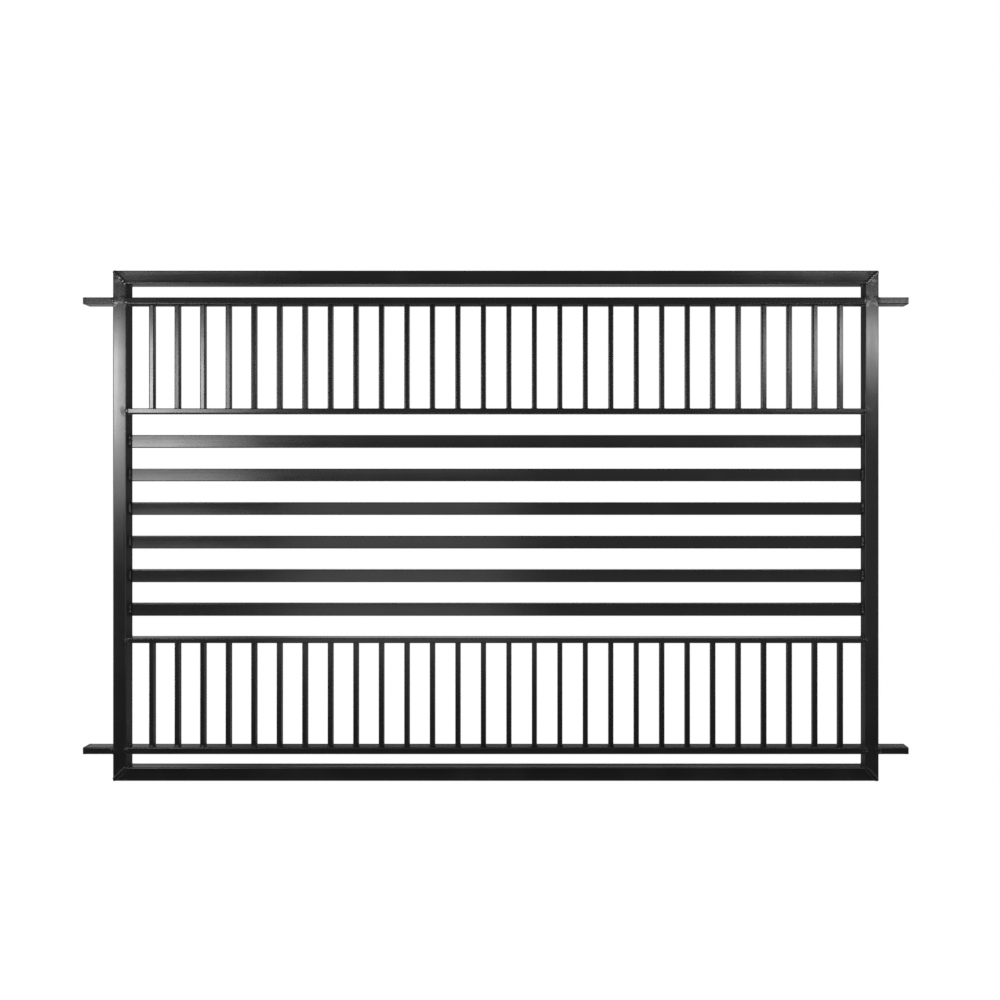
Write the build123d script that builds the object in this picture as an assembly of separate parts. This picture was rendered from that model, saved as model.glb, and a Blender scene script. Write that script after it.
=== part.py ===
from build123d import *
import os

# Security fence panel: a welded frame of square tube that holds two rows of bars between
# flat rails, a field of level slats between the rows, and four lugs that fix it to its posts.
# X runs along the panel, Y from its front to its back, Z up.
# The origin is the middle of the lower left lug's end face, where the panel meets its post.

# Panel, over the frame and without the lugs
PANEL_WIDTH = 1800.0
PANEL_HEIGHT = 1200.0

# Square tube of the frame
FRAME_TUBE = 32.0
FRAME_WALL = 1.6
FRAME_CORNER = 2.5

# Flat tubes of the rails, as deep as the frame and flush with its front and back
OUTER_RAIL_HEIGHT = 16.0
INNER_RAIL_HEIGHT = 12.0
RAIL_WALL = 1.5
RAIL_CORNER = 2.0
OUTER_RAIL_GAP = 31.0

# Square bars that stand in two rows, each between an outer and an inner rail
PICKET_SIDE = 12.0
PICKET_EDGE = 0.8
PICKET_LENGTH = 245.0
PICKETS_IN_ROW = 28

# Level slats of flat tube, flush with the back of the frame
SLAT_COUNT = 6
SLAT_HEIGHT = 30.0
SLAT_DEPTH = 16.0
SLAT_WALL = 1.5
SLAT_CORNER = 2.0

# Lugs of rail tube, each closed by a welded plate at the end that meets the post
LUG_LENGTH = 70.0
LUG_END_PLATE = 5.0

# Places along X
left_face = LUG_LENGTH
right_face = left_face + PANEL_WIDTH
inner_left = left_face + FRAME_TUBE
inner_right = right_face - FRAME_TUBE
inner_width = inner_right - inner_left

# Places along Z, from the middle of the lower lugs
frame_foot = -(FRAME_TUBE + OUTER_RAIL_GAP + OUTER_RAIL_HEIGHT / 2)
frame_head = frame_foot + PANEL_HEIGHT
lower_outer_rail = 0.0
upper_outer_rail = frame_head + frame_foot
rail_step = OUTER_RAIL_HEIGHT / 2 + PICKET_LENGTH + INNER_RAIL_HEIGHT / 2
lower_inner_rail = lower_outer_rail + rail_step
upper_inner_rail = upper_outer_rail - rail_step
slat_field_foot = lower_inner_rail + INNER_RAIL_HEIGHT / 2
slat_field_head = upper_inner_rail - INNER_RAIL_HEIGHT / 2


def tube_outline(depth, height, wall, corner):
    """Rounded outline of a hollow tube, seen along its length."""
    outer = RectangleRounded(depth, height, corner)
    bore_corner = max(corner - wall, wall / 4)
    return outer - RectangleRounded(depth - 2 * wall, height - 2 * wall, bore_corner)


def level_tube(start, length, middle_y, middle_z, outline):
    """Tube along X from start, with its outline drawn as depth by height."""
    section = Plane(origin=(start, middle_y, middle_z), x_dir=(0, 1, 0), z_dir=(1, 0, 0))
    return extrude(section * outline, length)


def mitred_tube(length, end_cut):
    """Frame tube along X about its middle, cut at both ends towards the panel's inside, at +Z."""
    outline = tube_outline(FRAME_TUBE, FRAME_TUBE, FRAME_WALL, FRAME_CORNER)
    tube = level_tube(-length / 2, length, 0, 0, outline)
    half_tube = FRAME_TUBE / 2
    for side in (-1, 1):
        outer_corner = (side * length / 2, -half_tube)
        inner_corner = (side * (length / 2 - end_cut), half_tube)
        beyond = (side * length / 2, half_tube)
        wedge = Plane.XZ * make_face(Polyline(outer_corner, inner_corner, beyond, close=True))
        tube -= extrude(wedge, FRAME_TUBE, both=True)
    return tube


def picket(middle_x, foot):
    """Square bar with lightly eased long edges, standing on its rail."""
    square = Rectangle(PICKET_SIDE, PICKET_SIDE)
    outline = chamfer(square.vertices(), PICKET_EDGE)
    return extrude(Plane(origin=(middle_x, 0, foot)) * outline, PICKET_LENGTH)


def picket_row(foot):
    """Row of bars with the same gap between neighbours and to the stiles."""
    gap = (inner_width - PICKETS_IN_ROW * PICKET_SIDE) / (PICKETS_IN_ROW + 1)
    first = inner_left + gap + PICKET_SIDE / 2
    bars = []
    for number in range(PICKETS_IN_ROW):
        bars.append(picket(first + number * (gap + PICKET_SIDE), foot))
    return Compound(children=bars)


def lug(stile_face, direction, middle_z):
    """Short rail tube on a stile's outer face, with its far end plated shut."""
    outline = tube_outline(FRAME_TUBE, OUTER_RAIL_HEIGHT, RAIL_WALL, RAIL_CORNER)
    plate = RectangleRounded(FRAME_TUBE, OUTER_RAIL_HEIGHT, RAIL_CORNER)
    tube_length = LUG_LENGTH - LUG_END_PLATE
    tube_end = stile_face + direction * tube_length
    tube = level_tube(min(stile_face, tube_end), tube_length, 0, middle_z, outline)
    plate_start = min(tube_end, stile_face + direction * LUG_LENGTH)
    return tube + level_tube(plate_start, LUG_END_PLATE, 0, middle_z, plate)


nodes = {}

# Frame: four square tubes, mitred at the corners
middle_x = (left_face + right_face) / 2
middle_z = (frame_foot + frame_head) / 2
half_tube = FRAME_TUBE / 2
level_member = mitred_tube(PANEL_WIDTH, FRAME_TUBE)
upright_member = mitred_tube(PANEL_HEIGHT, FRAME_TUBE)
nodes["frame_bottom"] = Pos(middle_x, 0, frame_foot + half_tube) * level_member
nodes["frame_top"] = Pos(middle_x, 0, frame_head - half_tube) * Rot(0, 180, 0) * level_member
nodes["left_stile"] = Pos(left_face + half_tube, 0, middle_z) * Rot(0, 90, 0) * upright_member
nodes["right_stile"] = Pos(right_face - half_tube, 0, middle_z) * Rot(0, -90, 0) * upright_member

# Rails: flat tubes between the stiles
outer_rail_outline = tube_outline(FRAME_TUBE, OUTER_RAIL_HEIGHT, RAIL_WALL, RAIL_CORNER)
inner_rail_outline = tube_outline(FRAME_TUBE, INNER_RAIL_HEIGHT, RAIL_WALL, RAIL_CORNER)
rails = {
    "lower_outer_rail": (lower_outer_rail, outer_rail_outline),
    "lower_inner_rail": (lower_inner_rail, inner_rail_outline),
    "upper_inner_rail": (upper_inner_rail, inner_rail_outline),
    "upper_outer_rail": (upper_outer_rail, outer_rail_outline),
}
for name, (rail_z, outline) in rails.items():
    nodes[name] = level_tube(inner_left, inner_width, 0, rail_z, outline)

# Pickets: two rows of bars, welded between the rails
nodes["lower_pickets"] = picket_row(lower_outer_rail + OUTER_RAIL_HEIGHT / 2)
nodes["upper_pickets"] = picket_row(upper_inner_rail + INNER_RAIL_HEIGHT / 2)

# Slats: flat tubes spread evenly between the inner rails, against the back of the frame
slat_outline = tube_outline(SLAT_DEPTH, SLAT_HEIGHT, SLAT_WALL, SLAT_CORNER)
slat_y = (FRAME_TUBE - SLAT_DEPTH) / 2
slat_gap = (slat_field_head - slat_field_foot - SLAT_COUNT * SLAT_HEIGHT) / (SLAT_COUNT + 1)
for number in range(SLAT_COUNT):
    slat_z = slat_field_foot + slat_gap + SLAT_HEIGHT / 2 + number * (slat_gap + SLAT_HEIGHT)
    nodes[f"slat_{number + 1}"] = level_tube(inner_left, inner_width, slat_y, slat_z, slat_outline)

# Lugs: one at each end of the two outer rails
nodes["lower_left_lug"] = lug(left_face, -1, lower_outer_rail)
nodes["upper_left_lug"] = lug(left_face, -1, upper_outer_rail)
nodes["lower_right_lug"] = lug(right_face, 1, lower_outer_rail)
nodes["upper_right_lug"] = lug(right_face, 1, upper_outer_rail)

os.makedirs("parts", exist_ok=True)
for name, shape in nodes.items():
    export_step(shape, f"parts/{name}.step")
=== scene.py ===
import math

import bpy
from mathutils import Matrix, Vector


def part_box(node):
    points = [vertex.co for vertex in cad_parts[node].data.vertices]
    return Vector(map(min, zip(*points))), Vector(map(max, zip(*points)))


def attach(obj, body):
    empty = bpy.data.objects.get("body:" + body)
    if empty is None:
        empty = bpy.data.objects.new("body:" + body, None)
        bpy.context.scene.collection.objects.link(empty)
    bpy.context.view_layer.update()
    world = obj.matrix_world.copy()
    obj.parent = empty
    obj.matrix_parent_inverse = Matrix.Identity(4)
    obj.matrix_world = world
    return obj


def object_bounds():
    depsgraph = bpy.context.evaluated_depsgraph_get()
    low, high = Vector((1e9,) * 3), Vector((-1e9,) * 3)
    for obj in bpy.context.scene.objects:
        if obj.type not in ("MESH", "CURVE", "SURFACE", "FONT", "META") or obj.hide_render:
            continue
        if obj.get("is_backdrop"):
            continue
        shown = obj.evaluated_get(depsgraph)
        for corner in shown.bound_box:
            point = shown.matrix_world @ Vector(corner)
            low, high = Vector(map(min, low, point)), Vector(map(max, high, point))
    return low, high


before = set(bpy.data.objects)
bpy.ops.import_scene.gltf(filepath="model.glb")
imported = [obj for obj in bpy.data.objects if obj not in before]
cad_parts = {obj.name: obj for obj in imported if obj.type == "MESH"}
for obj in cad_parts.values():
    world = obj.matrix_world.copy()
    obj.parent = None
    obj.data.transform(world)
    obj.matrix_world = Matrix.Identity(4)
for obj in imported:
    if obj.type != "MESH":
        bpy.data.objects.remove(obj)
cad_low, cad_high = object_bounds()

# Frame: four lengths of square steel tube, mitred at the corners and welded into one rectangle.
# The welded panel was dressed with a grinder and sprayed satin black from the front and the back,
# so the coat is glossy on faces square to the spray and drier on those that it only grazed.
MM = 0.001
ALONG_X = 0
ALONG_Z = 2


class Wire:
    """An output of a node. Sums on wires read as plain expressions, and each adds a Math node."""

    def __init__(self, tree, socket=None):
        self.tree = tree
        self.socket = socket

    def node(self, kind, settings=None, sockets=None, out=0):
        """Adds a node: its settings are set first, then the values or links of its sockets."""
        made = self.tree.nodes.new(kind)
        for name, value in (settings or {}).items():
            setattr(made, name, value)
        for key, value in (sockets or {}).items():
            if isinstance(value, Wire):
                self.tree.links.new(value.socket, made.inputs[key])
            else:
                made.inputs[key].default_value = value
        return Wire(self.tree, made.outputs[out] if len(made.outputs) else None)

    def maths(self, operation, first, second=0.0):
        return self.node("ShaderNodeMath", {"operation": operation}, {0: first, 1: second})

    def __add__(self, other):
        return self.maths("ADD", self, other)

    def __sub__(self, other):
        return self.maths("SUBTRACT", self, other)

    def __rsub__(self, other):
        return self.maths("SUBTRACT", other, self)

    def __mul__(self, other):
        return self.maths("MULTIPLY", self, other)

    def __truediv__(self, other):
        return self.maths("DIVIDE", self, other)

    def __pow__(self, other):
        return self.maths("POWER", self, other)

    __radd__ = __add__
    __rmul__ = __mul__

    def size(self):
        return self.maths("ABSOLUTE", self)

    def least(self, other):
        return self.maths("MINIMUM", self, other)

    def most(self, other):
        return self.maths("MAXIMUM", self, other)

    def rounded(self):
        return self.maths("ROUND", self)

    def sine(self):
        return self.maths("SINE", self)

    def fade(self, start, end, first=0.0, last=1.0):
        """A smooth change from first, up to start, to last, from end on."""
        limits = {"From Min": start, "From Max": end, "To Min": first, "To Max": last}
        settings = {"interpolation_type": "SMOOTHSTEP"}
        return self.node("ShaderNodeMapRange", settings, {"Value": self, **limits})

    def part(self, axis):
        return self.node("ShaderNodeSeparateXYZ", {}, {0: self}, axis)

    def vector(self, operation, other, out="Vector"):
        return self.node("ShaderNodeVectorMath", {"operation": operation}, {0: self, 1: other}, out)

    def noise(self, cell, detail=2.0):
        """Cloudy pattern from 0 to 1 over the places on this wire, in patches of about a cell."""
        return self.node("ShaderNodeTexNoise", {}, {"Vector": self, "Scale": 1 / cell, "Detail": detail})


PAINT_BLACK = (0.0065, 0.0065, 0.0070, 1.0)
PAINT_DUST = (0.016, 0.016, 0.017, 1.0)
LEAST_DUST = 0.25
PAINT_IOR = 1.48
GLOSSY_COAT = 0.20
DRY_COAT = 0.80
SETTLED_COAT = 0.23
COAT_SPREAD = 0.12
PEEL_CELL = 2.6 * MM
PEEL_DEPTH = 0.003 * MM
WAVE_CELL = 150 * MM
WAVE_DEPTH = 0.35 * MM
STREAK_CELL = 4.5 * MM
STREAK_LENGTH = 300 * MM
STREAK_DETAIL = 3.0
CLOUD_CELL = 90 * MM
CLOUD_DETAIL = 4.0
SMOOTH_DETAIL = 1.0

# Limits of fades: over the clouds for dust, and over the parts of a face's normal for the rest.
DUSTY_CLOUD = (0.45, 0.75)
DUSTY_TILT = (0.2, 0.9)
SQUARE_ON = (0.45, 0.85)
FACE_UP = (0.6, 0.95)
FACE_DOWN = (-0.6, -0.95)

# Numbers of the Mix node's sockets for colours, whose names it uses more than once.
FIRST_COLOUR = 6
SECOND_COLOUR = 7
MIXED_COLOUR = 2


def black_paint(name, form=None, streaks=0.0, length_axis=ALONG_Z, dry=DRY_COAT, under=None):
    """Satin black paint on metal.

    The form gives the heights of the metal under the paint, in metres, from the places on it.
    Streaks are the height of the lines that were drawn into a tube along its length. Dry is the
    coat on faces that the spray grazed, and under the one on faces that lie face down.
    """
    paint = bpy.data.materials.new(name)
    paint.use_nodes = True
    paint.node_tree.nodes.clear()
    wire = Wire(paint.node_tree)
    place = wire.node("ShaderNodeTexCoord", out="Object")
    normal = wire.node("ShaderNodeNewGeometry", out="Normal")
    squeeze = [1.0, 1.0, 1.0]
    squeeze[length_axis] = STREAK_CELL / STREAK_LENGTH
    stretched = wire.node("ShaderNodeMapping", {}, {"Vector": place, "Scale": squeeze})
    streak = stretched.noise(STREAK_CELL, STREAK_DETAIL)
    cloud = place.noise(CLOUD_CELL, CLOUD_DETAIL)

    height = place.noise(PEEL_CELL) * PEEL_DEPTH + place.noise(WAVE_CELL, SMOOTH_DETAIL) * WAVE_DEPTH
    height = height + streak * streaks
    if form is not None:
        height = height + form(place)
    bump = wire.node("ShaderNodeBump", {}, {"Height": height, "Distance": 1.0}, "Normal")

    dust = cloud.fade(*DUSTY_CLOUD) * normal.part("Z").fade(*DUSTY_TILT, LEAST_DUST)
    blend = {"Factor": dust, FIRST_COLOUR: PAINT_BLACK, SECOND_COLOUR: PAINT_DUST}
    colour = wire.node("ShaderNodeMix", {"data_type": "RGBA"}, blend, MIXED_COLOUR)
    square_on = normal.part("Y").size().fade(*SQUARE_ON)
    face_up = normal.part("Z").fade(*FACE_UP)
    face_down = normal.part("Z").fade(*FACE_DOWN)
    under = dry if under is None else under
    coat = square_on * (GLOSSY_COAT - dry) + face_up * (SETTLED_COAT - dry)
    coat = coat + face_down * (under - dry) + dry
    shader = wire.node("ShaderNodeBsdfPrincipled", {}, {
        "Base Color": colour,
        "Roughness": coat + (streak + cloud - 1.0) * COAT_SPREAD,
        "IOR": PAINT_IOR,
        "Normal": bump,
    })
    wire.node("ShaderNodeOutputMaterial", {}, {"Surface": shader})
    return paint


def paint_node(node, paint):
    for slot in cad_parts[node].material_slots:
        slot.material = paint


FACE_HOLLOW = 1.2
TUBE_STREAKS = 0.045 * MM
TOP_UNDERSIDE_COAT = 0.30
DRESSED_REACH = 17 * MM
DRESSED_CORE = 1.7 * MM
DRESSED_CELL = 9 * MM
DRESSED_DETAIL = 1.5
DRESSED_RISE = 0.3 * MM


def middle_of(node):
    low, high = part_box(node)
    return (low + high) / 2


def hollow_faces(place, node, length_axis):
    """Faces of a drawn tube, which sink a little towards their middle lines."""
    middle = middle_of(node)
    height = 0.0
    for axis in range(3):
        if axis != length_axis:
            offset = place.part(axis) - middle[axis]
            height = offset * offset * FACE_HOLLOW + height
    return height


def dressed_marks(place, spots):
    """Uneven patches round the spots, given in X and Z, where a grinder dressed a weld."""
    height = 0.0
    for spot_x, spot_z in spots:
        along_x = place.part("X") - spot_x
        along_z = place.part("Z") - spot_z
        distance = (along_x * along_x + along_z * along_z) ** 0.5
        uneven = distance + (place.noise(DRESSED_CELL) - 0.5) * DRESSED_REACH
        patch = uneven.fade(DRESSED_REACH, DRESSED_CORE)
        height = patch * (place.noise(DRESSED_CELL, DRESSED_DETAIL) + 0.5) * DRESSED_RISE + height
    return height


def frame_paint(node, spots, length_axis, under=None):
    """Paint on a tube of the frame, over its hollow faces and the dressed marks at the spots."""
    return black_paint(
        "paint_" + node,
        form=lambda place: hollow_faces(place, node, length_axis) + dressed_marks(place, spots),
        streaks=TUBE_STREAKS,
        length_axis=length_axis,
        under=under,
    )


RAILS = ("upper_outer_rail", "upper_inner_rail", "lower_inner_rail", "lower_outer_rail")
left_low, left_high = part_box("left_stile")
right_low, right_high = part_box("right_stile")
top_low, top_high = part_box("frame_top")
bottom_low, bottom_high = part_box("frame_bottom")
front, back = left_low.y, left_high.y
rail_zs = [middle_of(rail).z for rail in RAILS]
lug_zs = (rail_zs[0], rail_zs[-1])
corner_xs = (middle_of("left_stile").x, middle_of("right_stile").x)
corner_zs = (middle_of("frame_top").z, middle_of("frame_bottom").z)

stile_sides = {"left_stile": (left_high.x, left_low.x), "right_stile": (right_low.x, right_high.x)}
for node, (inner_x, outer_x) in stile_sides.items():
    spots = [(inner_x, rail_z) for rail_z in rail_zs]
    spots += [(outer_x, lug_z) for lug_z in lug_zs]
    spots += [(middle_of(node).x, corner_z) for corner_z in corner_zs]
    paint_node(node, frame_paint(node, spots, ALONG_Z))
for node, under in (("frame_top", TOP_UNDERSIDE_COAT), ("frame_bottom", DRY_COAT)):
    spots = [(corner_x, middle_of(node).z) for corner_x in corner_xs]
    paint_node(node, frame_paint(node, spots, ALONG_X, under))

# Mitre welds: a bead of weld metal across each corner joint, on the front and on the back, and a
# fillet in the inner corner. The beads are laid by hand, so they wander, and paint covers them.
BEAD_RING = 10
BEAD_STEPS = 5
RING_RADIUS = 1 * MM
RIPPLE_BOW = 0.6
END_STUB = 0.02
SWELL_CELL = 7 * MM
SWAY_CELL = 11 * MM


def bead_tree():
    """Weld beads along the edges of a path mesh, whose points hold the way out of the metal."""
    tree = bpy.data.node_groups.new("weld_bead", "GeometryNodeTree")
    sizes = ("Half Width", "Crown", "Ripple Pitch", "Ripple Depth", "Wander")
    tree.interface.new_socket("Path", in_out="INPUT", socket_type="NodeSocketGeometry")
    for name in sizes:
        tree.interface.new_socket(name, in_out="INPUT", socket_type="NodeSocketFloat")
    tree.interface.new_socket("Paint", in_out="INPUT", socket_type="NodeSocketMaterial")
    tree.interface.new_socket("Bead", in_out="OUTPUT", socket_type="NodeSocketGeometry")
    given = tree.nodes.new("NodeGroupInput").outputs
    half_width, crown, pitch, ripple_depth, wander = (Wire(tree, given[name]) for name in sizes)
    wire = Wire(tree, given["Path"])

    def keep(points, name, kind, value):
        settings = {"data_type": kind, "domain": "POINT"}
        sockets = {"Geometry": points, "Name": name, "Value": value}
        return wire.node("GeometryNodeStoreNamedAttribute", settings, sockets)

    def kept(name, kind):
        return wire.node("GeometryNodeInputNamedAttribute", {"data_type": kind}, {"Name": name})

    line = wire.node("GeometryNodeMeshToCurve", {}, {"Mesh": wire})
    spacing = {"Curve": line, "Length": pitch / BEAD_STEPS}
    line = wire.node("GeometryNodeResampleCurve", {"mode": "LENGTH"}, spacing)
    travelled = wire.node("GeometryNodeSplineParameter", out="Length")
    remaining = wire.node("GeometryNodeSplineLength") - travelled
    tangent = wire.node("GeometryNodeInputTangent")
    sideways = tangent.vector("CROSS_PRODUCT", kept("outward", "FLOAT_VECTOR"))
    line = keep(line, "middle", "FLOAT_VECTOR", wire.node("GeometryNodeInputPosition"))
    line = keep(line, "sideways", "FLOAT_VECTOR", sideways)
    line = keep(line, "travelled", "FLOAT", travelled)
    line = keep(line, "to_end", "FLOAT", travelled.least(remaining))
    circle = {"Resolution": BEAD_RING, "Radius": RING_RADIUS}
    ring = wire.node("GeometryNodeCurvePrimitiveCircle", {"mode": "RADIUS"}, circle)
    sweep = {"Curve": line, "Profile Curve": ring, "Fill Caps": True}
    bead = wire.node("GeometryNodeCurveToMesh", {}, sweep)

    middle = kept("middle", "FLOAT_VECTOR")
    across_way = kept("sideways", "FLOAT_VECTOR")
    out_way = kept("outward", "FLOAT_VECTOR")
    offset = wire.node("GeometryNodeInputPosition").vector("SUBTRACT", middle)
    across = offset.vector("DOT_PRODUCT", across_way, "Value") / RING_RADIUS
    upward = offset.vector("DOT_PRODUCT", out_way, "Value") / RING_RADIUS
    phase = kept("travelled", "FLOAT") / pitch + across * across * RIPPLE_BOW
    ripple = 1.0 - ripple_depth * (1.0 - (phase * math.pi).sine().size())
    nearness = 1.0 - (kept("to_end", "FLOAT") / half_width).least(1.0)
    rounded = (1.0 - nearness * nearness).most(END_STUB) ** 0.5
    swell = middle.noise(SWELL_CELL, SMOOTH_DETAIL) + 0.5
    sway = (middle.noise(SWAY_CELL, SMOOTH_DETAIL) - 0.5) * wander * 2.0
    sideways_by = across * half_width * rounded * swell + sway
    upward_by = upward * crown * rounded * ripple * swell
    place = middle.vector("ADD", across_way.vector("MULTIPLY", sideways_by))
    place = place.vector("ADD", out_way.vector("MULTIPLY", upward_by))
    bead = wire.node("GeometryNodeSetPosition", {}, {"Geometry": bead, "Position": place})
    bead = wire.node("GeometryNodeSetShadeSmooth", {}, {"Geometry": bead})
    bead = wire.node("GeometryNodeRealizeInstances", {}, {"Geometry": bead})
    painted = {"Geometry": bead, "Material": Wire(tree, given["Paint"])}
    bead = wire.node("GeometryNodeSetMaterial", {}, painted)
    wire.node("NodeGroupOutput", {}, {"Bead": bead})
    return tree


WELD_COAT = 0.07
USUAL_RIPPLE = 0.35
USUAL_WANDER = 0.3 * MM
weld_beads = bead_tree()
weld_paint = black_paint("paint_welds", dry=WELD_COAT, under=WELD_COAT)


def weld(name, paths, half_width, crown, pitch, ripple_depth=USUAL_RIPPLE, wander=USUAL_WANDER):
    """Lays a bead along each path, given as its start, its end and the way out of the metal."""
    points = [point for start, end, _ in paths for point in (start, end)]
    edges = [(2 * number, 2 * number + 1) for number in range(len(paths))]
    mesh = bpy.data.meshes.new(name)
    mesh.from_pydata(points, edges, [])
    outward = mesh.attributes.new("outward", "FLOAT_VECTOR", "POINT")
    for edge, (_, _, way) in zip(edges, paths):
        for number in edge:
            outward.data[number].vector = Vector(way).normalized()
    piece = bpy.data.objects.new(name, mesh)
    bpy.context.scene.collection.objects.link(piece)
    bead = piece.modifiers.new("bead", "NODES")
    bead.node_group = weld_beads
    values = {"Half Width": half_width, "Crown": crown, "Ripple Pitch": pitch}
    values.update({"Ripple Depth": ripple_depth, "Wander": wander, "Paint": weld_paint})
    for item in weld_beads.interface.items_tree:
        if item.name in values:
            bead[item.identifier] = values[item.name]
    depsgraph = bpy.context.evaluated_depsgraph_get()
    laid = bpy.data.meshes.new_from_object(piece.evaluated_get(depsgraph))
    piece.modifiers.remove(bead)
    piece.data = laid
    for helper in ("outward", "middle", "sideways", "travelled", "to_end"):
        if helper in laid.attributes:
            laid.attributes.remove(laid.attributes[helper])
    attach(piece, "root")


SEAM_INSET = 1.5 * MM
FILLET_INSET = 3 * MM
fillet_front = front + FILLET_INSET
fillet_back = back - FILLET_INSET
seam_paths = []
corner_paths = []
for outer_x, inner_x in ((left_low.x, left_high.x), (right_high.x, right_low.x)):
    for outer_z, inner_z in ((top_high.z, top_low.z), (bottom_low.z, bottom_high.z)):
        inward_x = math.copysign(1, inner_x - outer_x)
        inward_z = math.copysign(1, inner_z - outer_z)
        start_x = outer_x + inward_x * SEAM_INSET
        start_z = outer_z + inward_z * SEAM_INSET
        for face, way in ((front, -1), (back, 1)):
            seam_paths.append(((start_x, face, start_z), (inner_x, face, inner_z), (0, way, 0)))
        corner_start = (inner_x, fillet_front, inner_z)
        corner_end = (inner_x, fillet_back, inner_z)
        corner_paths.append((corner_start, corner_end, (inward_x, 0, inward_z)))
weld(
    "mitre_seam_welds", seam_paths,
    half_width=5.4 * MM, crown=0.8 * MM, pitch=6.0 * MM, ripple_depth=0.3, wander=2.2 * MM,
)
weld("mitre_corner_welds", corner_paths, half_width=3.2 * MM, crown=2.4 * MM, pitch=2.2 * MM)

# Rails: flat steel tubes between the stiles, as deep as the frame and flush with its two sides.
# They are cut square, held at both ends by welds, and carry the same coat of black paint. The
# highest one was welded in a little askew, which its form gives as a slope.
RAIL_LEANS = {"upper_outer_rail": -0.05}
for node in RAILS:
    lean = RAIL_LEANS.get(node, 0.0)
    paint = black_paint(
        "paint_" + node,
        form=lambda place: place.part("Z") * lean,
        streaks=TUBE_STREAKS,
        length_axis=ALONG_X,
    )
    paint_node(node, paint)

# Rail welds: a bead down each end of a rail, on the front and on the back, which fills the groove
# at the stile's rounded edge, and a fillet across the top and the underside.
GROOVE_SINK = 0.6 * MM
end_paths = []
fillet_paths = []
for node in RAILS:
    low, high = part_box(node)
    for end_x, inward in ((low.x, 1), (high.x, -1)):
        for face, way in ((front + GROOVE_SINK, -1), (back - GROOVE_SINK, 1)):
            end_paths.append(((end_x, face, high.z), (end_x, face, low.z), (0, way, 0)))
        for edge_z, way in ((high.z, 1), (low.z, -1)):
            fillet_start = (end_x, fillet_front, edge_z)
            fillet_end = (end_x, fillet_back, edge_z)
            fillet_paths.append((fillet_start, fillet_end, (inward, 0, way)))
weld(
    "rail_end_welds", end_paths,
    half_width=5.8 * MM, crown=1.7 * MM, pitch=6.0 * MM, ripple_depth=0.22, wander=1.2 * MM,
)
weld("rail_fillet_welds", fillet_paths, half_width=3.0 * MM, crown=2.2 * MM, pitch=2.4 * MM)

# Pickets: square steel bars in two rows, drawn with eased edges, each held between two rails by its
# welds and a little turned in them. Their coat of black paint lies smoother on the sides of the
# upper row than on those of the lower one.
PICKET_STREAKS = 0.025 * MM
EDGE_ROUND = 2.5 * MM
BAR_TURN = 0.07
PICKET_ROWS = ("upper_pickets", "lower_pickets")
PICKET_SIDE_COATS = (0.22, 0.60)
row_low, row_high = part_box(PICKET_ROWS[0])
picket_side = row_high.y - row_low.y
picket_lefts = [row_low.x]
row_edges = {round(vertex.co.x, 4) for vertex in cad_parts[PICKET_ROWS[0]].data.vertices}
for edge in sorted(row_edges):
    # The next bar starts at the first edge that lies well past the bar before it.
    if edge - picket_lefts[-1] > 2 * picket_side:
        picket_lefts.append(edge)
picket_pitch = picket_lefts[1] - picket_lefts[0]


def bar_form(place, row):
    """Bars that each stand a little turned in their welds, with long edges that are rolled round."""
    along = place.part("X") - (picket_lefts[0] + picket_side / 2)
    number = (along / picket_pitch).rounded()
    across = along - number * picket_pitch
    draw = {"W": number + row * len(picket_lefts)}
    turn = place.node("ShaderNodeTexWhiteNoise", {"noise_dimensions": "1D"}, draw) - 0.5
    past_edge = (across.size() - (picket_side / 2 - EDGE_ROUND)).most(0.0)
    return across * turn * BAR_TURN - past_edge * past_edge / (2 * EDGE_ROUND)


for row, node in enumerate(PICKET_ROWS):
    paint = black_paint(
        "paint_" + node,
        form=lambda place: bar_form(place, row),
        streaks=PICKET_STREAKS,
        length_axis=ALONG_Z,
        dry=PICKET_SIDE_COATS[row],
    )
    paint_node(node, paint)

# Picket welds: a short fillet on the left and on the right of every head and foot.
# Each is one dab of weld metal, nearly as long as the bar is deep.
DAB_INSET = 0.5 * MM
picket_paths = []
for node in PICKET_ROWS:
    low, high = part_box(node)
    for left_x in picket_lefts:
        for face_x, way_x in ((left_x, -1), (left_x + picket_side, 1)):
            for end_z, way_z in ((low.z, 1), (high.z, -1)):
                dab_start = (face_x, low.y + DAB_INSET, end_z)
                dab_end = (face_x, high.y - DAB_INSET, end_z)
                picket_paths.append((dab_start, dab_end, (way_x, 0, way_z)))
weld("picket_welds", picket_paths, half_width=3.0 * MM, crown=2.2 * MM, pitch=4.0 * MM)

# Slats: level flat tubes across the middle of the panel, set flush with the back of the frame.
# They are cut square, held at both ends by welds, and carry the same coat of black paint. One was
# welded in a little askew, as the highest rail was.
SLATS = sorted(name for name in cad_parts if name.startswith("slat_"))
SLAT_LEANS = {"slat_4": 0.03}
for node in SLATS:
    lean = SLAT_LEANS.get(node, 0.0)
    paint = black_paint(
        "paint_" + node,
        form=lambda place: hollow_faces(place, node, ALONG_X) + place.part("Z") * lean,
        streaks=TUBE_STREAKS,
        length_axis=ALONG_X,
    )
    paint_node(node, paint)

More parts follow.
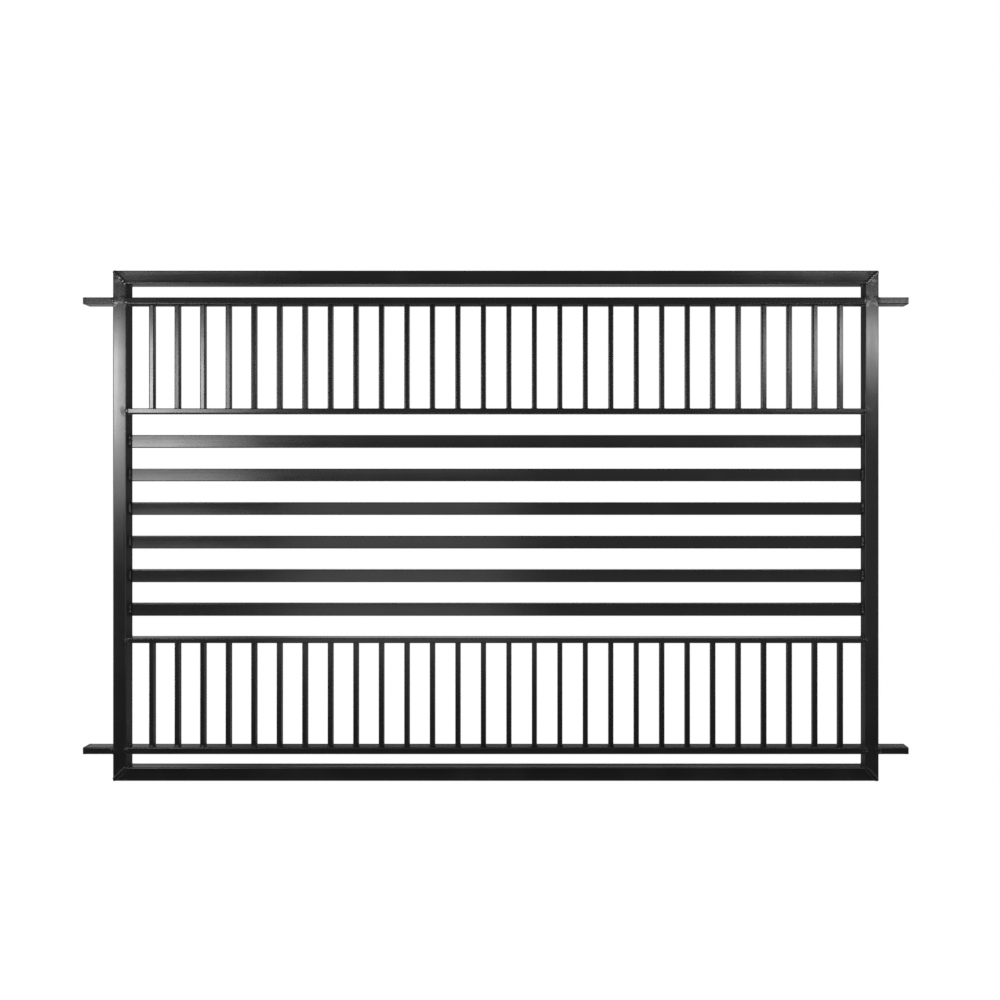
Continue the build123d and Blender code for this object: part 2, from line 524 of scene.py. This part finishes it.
# Slat welds: a fillet down the front of each end, in the corner that the slat makes with the
# stile's inner face, and a bead down the back, where the two are flush.
FILLET_FORWARD = 0.86
slat_front_paths = []
slat_back_paths = []
for node in SLATS:
    low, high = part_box(node)
    for end_x, inward in ((low.x, 1), (high.x, -1)):
        top_end = (end_x, low.y, high.z)
        bottom_end = (end_x, low.y, low.z)
        slat_front_paths.append((top_end, bottom_end, (inward, -FILLET_FORWARD, 0)))
        flush = back - GROOVE_SINK
        slat_back_paths.append(((end_x, flush, high.z), (end_x, flush, low.z), (0, 1, 0)))
weld(
    "slat_front_welds", slat_front_paths,
    half_width=6.0 * MM, crown=3.4 * MM, pitch=9.0 * MM, wander=0.6 * MM,
)
weld(
    "slat_back_welds", slat_back_paths,
    half_width=3.6 * MM, crown=1.4 * MM, pitch=2.6 * MM, wander=0.8 * MM,
)

# Lugs: short lengths of rail tube on the stiles' outer faces, level with the outer rails.
# Each is closed by a plate at its far end and takes the paint with the rest of the panel.
LUGS = ("upper_left_lug", "lower_left_lug", "upper_right_lug", "lower_right_lug")
LUG_UNDERSIDE_COAT = 0.25
lug_paint = black_paint(
    "paint_lugs", streaks=TUBE_STREAKS, length_axis=ALONG_X, under=LUG_UNDERSIDE_COAT
)
for node in LUGS:
    paint_node(node, lug_paint)

# Lug welds: beads all round the foot of each lug, where it stands on the stile, and a low ground
# seam round its far end, where the closing plate is welded on.
PLATE_THICKNESS = 5 * MM
panel_middle = (cad_low + cad_high) / 2
lug_foot_paths = []
lug_fillet_paths = []
plate_paths = []
for node in LUGS:
    low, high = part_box(node)
    on_left = high.x < panel_middle.x
    foot_x = high.x if on_left else low.x
    plate_x = low.x + PLATE_THICKNESS if on_left else high.x - PLATE_THICKNESS
    outward_x = -1 if on_left else 1
    for face, way in ((front, -1), (back, 1)):
        sunk = face - way * GROOVE_SINK
        lug_foot_paths.append(((foot_x, sunk, high.z), (foot_x, sunk, low.z), (0, way, 0)))
        plate_paths.append(((plate_x, face, high.z), (plate_x, face, low.z), (0, way, 0)))
    for edge_z, way in ((high.z, 1), (low.z, -1)):
        fillet_start = (foot_x, fillet_front, edge_z)
        fillet_end = (foot_x, fillet_back, edge_z)
        lug_fillet_paths.append((fillet_start, fillet_end, (outward_x, 0, way)))
        plate_start = (plate_x, fillet_front, edge_z)
        plate_end = (plate_x, fillet_back, edge_z)
        plate_paths.append((plate_start, plate_end, (0, 0, way)))
weld(
    "lug_foot_welds", lug_foot_paths,
    half_width=5.0 * MM, crown=1.5 * MM, pitch=5.0 * MM, ripple_depth=0.25, wander=0.8 * MM,
)
weld("lug_fillet_welds", lug_fillet_paths, half_width=4.6 * MM, crown=3.4 * MM, pitch=3.4 * MM)
weld(
    "lug_plate_seams", plate_paths,
    half_width=1.6 * MM, crown=0.3 * MM, pitch=2.4 * MM, ripple_depth=0.3,
)

# Studio: a white sheet that lies under the panel and runs out behind it, and white all round for the
# camera. Gloss sees a low white band behind, with dimmer edges and corners beyond it, a dim room in
# front, darker to the left and palest just under eye level, and a soft glow from above and below.
WHITE = (1.0, 1.0, 1.0, 1.0)
ROOM_LIGHT = 0.5
LOW_GLOSS = 0.04
EYE_GLOSS = 0.45
HIGH_GLOSS = 0.20
EDGE_GLOSS = 0.10
CORNER_GLOSS = 0.75
STEEP_GLOSS = 0.4
LEFT_SHARE = 0.5

# Limits of fades over the parts of a ray's direction, each from its start to its end.
BEHIND = (0.0, 0.3)
IN_FRONT = (0.0, -0.3)
BAND_RISE = (0.26, 0.16)
BAND_REACH = (0.36, 0.20)
EDGES_FROM = (0.08, 0.18)
EDGES_TO = (0.36, 0.28)
CORNERS_FROM = (0.30, 0.42)
STEEP_RISE = (0.5, 0.8)
UP_TO_EYE = (-0.33, -0.08)
PAST_EYE = (-0.05, 0.2)
FROM_LEFT = (-0.5, -0.2)


def background_rays(wire):
    """The rays of the camera, and those of gloss and of clear things."""
    paths = wire.node("ShaderNodeLightPath").socket.node.outputs
    gloss = Wire(wire.tree, paths["Is Glossy Ray"])
    clear = Wire(wire.tree, paths["Is Transmission Ray"])
    return Wire(wire.tree, paths["Is Camera Ray"]), gloss.most(clear)


world = bpy.data.worlds.new("studio")
bpy.context.scene.world = world
world.use_nodes = True
world.node_tree.nodes.clear()
wire = Wire(world.node_tree)
camera_ray, gloss_ray = background_rays(wire)
way = wire.node("ShaderNodeTexCoord", out="Generated")
rise = way.part("Z").size()
reach = way.part("X").size()
band = rise.fade(*BAND_RISE) * reach.fade(*BAND_REACH)
edges = rise.fade(*EDGES_FROM) * rise.fade(*EDGES_TO)
edges = edges * reach.fade(*CORNERS_FROM, EDGE_GLOSS, CORNER_GLOSS)
behind = way.part("Y").fade(*BEHIND) * band.most(edges)
room = way.part("Z").fade(*UP_TO_EYE, LOW_GLOSS, EYE_GLOSS)
room = room - way.part("Z").fade(*PAST_EYE, 0.0, EYE_GLOSS - HIGH_GLOSS)
room = room * way.part("X").fade(*FROM_LEFT, LEFT_SHARE, 1.0)
in_front = way.part("Y").fade(*IN_FRONT)
gloss_level = in_front * (room - LOW_GLOSS) + behind * (1.0 - LOW_GLOSS) + LOW_GLOSS
gloss_level = gloss_level.most(rise.fade(*STEEP_RISE) * STEEP_GLOSS)
room_level = (1.0 - camera_ray.most(gloss_ray)) * ROOM_LIGHT
level = camera_ray + gloss_ray * gloss_level + room_level
sky = wire.node("ShaderNodeBackground", {}, {"Color": WHITE, "Strength": level})
wire.node("ShaderNodeOutputWorld", {}, {"Surface": sky})

FLOOR_DROP = 0.62
FLOOR_FRONT = -0.1
FLOOR_BACK = 1.7
FLOOR_REACH = 6.0
FLOOR_COLOUR = (0.8, 0.8, 0.8, 1.0)
FLOOR_SHADE = (0.22, 0.22, 0.22, 1.0)
FLOOR_GLOW = 0.87
floor_z = cad_low.z - FLOOR_DROP
floor_corners = (
    (cad_low.x - FLOOR_REACH, FLOOR_FRONT, floor_z),
    (cad_high.x + FLOOR_REACH, FLOOR_FRONT, floor_z),
    (cad_high.x + FLOOR_REACH, FLOOR_BACK, floor_z),
    (cad_low.x - FLOOR_REACH, FLOOR_BACK, floor_z),
)
floor_mesh = bpy.data.meshes.new("floor")
floor_mesh.from_pydata(floor_corners, [], [(0, 1, 2, 3)])
floor = bpy.data.objects.new("floor", floor_mesh)
bpy.context.scene.collection.objects.link(floor)
floor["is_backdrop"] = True

floor_paper = bpy.data.materials.new("floor_paper")
floor_paper.use_nodes = True
floor_paper.node_tree.nodes.clear()
wire = Wire(floor_paper.node_tree)
camera_ray, gloss_ray = background_rays(wire)
plain_paper = wire.node("ShaderNodeBsdfDiffuse", {}, {"Color": FLOOR_COLOUR})
glow = wire.node("ShaderNodeEmission", {}, {"Color": WHITE, "Strength": FLOOR_GLOW})
shade = wire.node("ShaderNodeBsdfDiffuse", {}, {"Color": FLOOR_SHADE})
white_paper = wire.node("ShaderNodeAddShader", {}, {0: glow, 1: shade})
seen = camera_ray.most(gloss_ray)
paper = wire.node("ShaderNodeMixShader", {}, {"Fac": seen, 1: plain_paper, 2: white_paper})
wire.node("ShaderNodeOutputMaterial", {}, {"Surface": paper})
floor_mesh.materials.append(floor_paper)

# Lamps: a soft box in front on the left, brighter in its upper part, a flat one high on the right
# and a low window between them give the faces their sheen. A tall strip at each side picks out the
# weld beads and the edges of the bars, and two boxes behind light the panel's back.


def soft_box(name, offset, width, height, radiance):
    """Rectangular lamp of even radiance, set off from the panel's middle and turned to it."""
    lamp = bpy.data.lights.new(name, "AREA")
    lamp.shape = "RECTANGLE"
    lamp.size = width
    lamp.size_y = height
    lamp.energy = radiance * math.pi * width * height
    box = bpy.data.objects.new(name, lamp)
    box.location = panel_middle + Vector(offset)
    box.rotation_euler = (-Vector(offset)).to_track_quat("-Z", "Y").to_euler()
    box.visible_camera = False
    bpy.context.scene.collection.objects.link(box)


soft_box("left_bright_half", offset=(-1.78, -2.05, 0.55), width=0.36, height=0.50, radiance=15.0)
soft_box("left_soft_box", offset=(-1.68, -2.05, 0.42), width=0.75, height=0.85, radiance=5.0)
soft_box("right_soft_box", offset=(1.66, -2.05, 0.77), width=1.1, height=0.20, radiance=14.5)
soft_box("low_window", offset=(-0.57, -2.05, -0.31), width=1.07, height=0.76, radiance=1.0)
soft_box("left_strip", offset=(-3.2, -1.1, 0.0), width=0.5, height=2.0, radiance=5.0)
soft_box("right_strip", offset=(3.2, -1.1, 0.0), width=0.5, height=2.0, radiance=5.0)
soft_box("back_left_box", offset=(-2.9, 1.6, -0.4), width=0.9, height=1.4, radiance=3.0)
soft_box("back_right_box", offset=(2.9, 1.6, -0.4), width=0.9, height=1.4, radiance=3.0)

# Camera: level and square to the panel, a little right of its middle and above its mid-height.
# The lens is shifted so that the panel stands in the picture where the photograph has it.
CAMERA_DISTANCE = 2.025
CAMERA_RIGHT = 0.125
CAMERA_HEIGHT = 0.697
FOCAL_PIXELS = 862
AXIS_PIXEL = (549, 484.5)
PICTURE_PIXELS = 1000
SENSOR_MM = 36.0
lens = bpy.data.cameras.new("camera")
lens.sensor_width = SENSOR_MM
lens.lens = FOCAL_PIXELS / PICTURE_PIXELS * SENSOR_MM
lens.shift_x = 0.5 - AXIS_PIXEL[0] / PICTURE_PIXELS
lens.shift_y = AXIS_PIXEL[1] / PICTURE_PIXELS - 0.5
camera = bpy.data.objects.new("camera", lens)
camera_x = panel_middle.x + CAMERA_RIGHT
camera.location = (camera_x, cad_low.y - CAMERA_DISTANCE, cad_low.z + CAMERA_HEIGHT)
camera.rotation_euler = (math.radians(90), 0, 0)
bpy.context.scene.collection.objects.link(camera)
bpy.context.scene.camera = camera
bpy.context.scene.view_settings.view_transform = "Standard"

# Size: the box of the finished panel, welds and all; the box of the solids was taken after the import.
low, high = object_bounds()
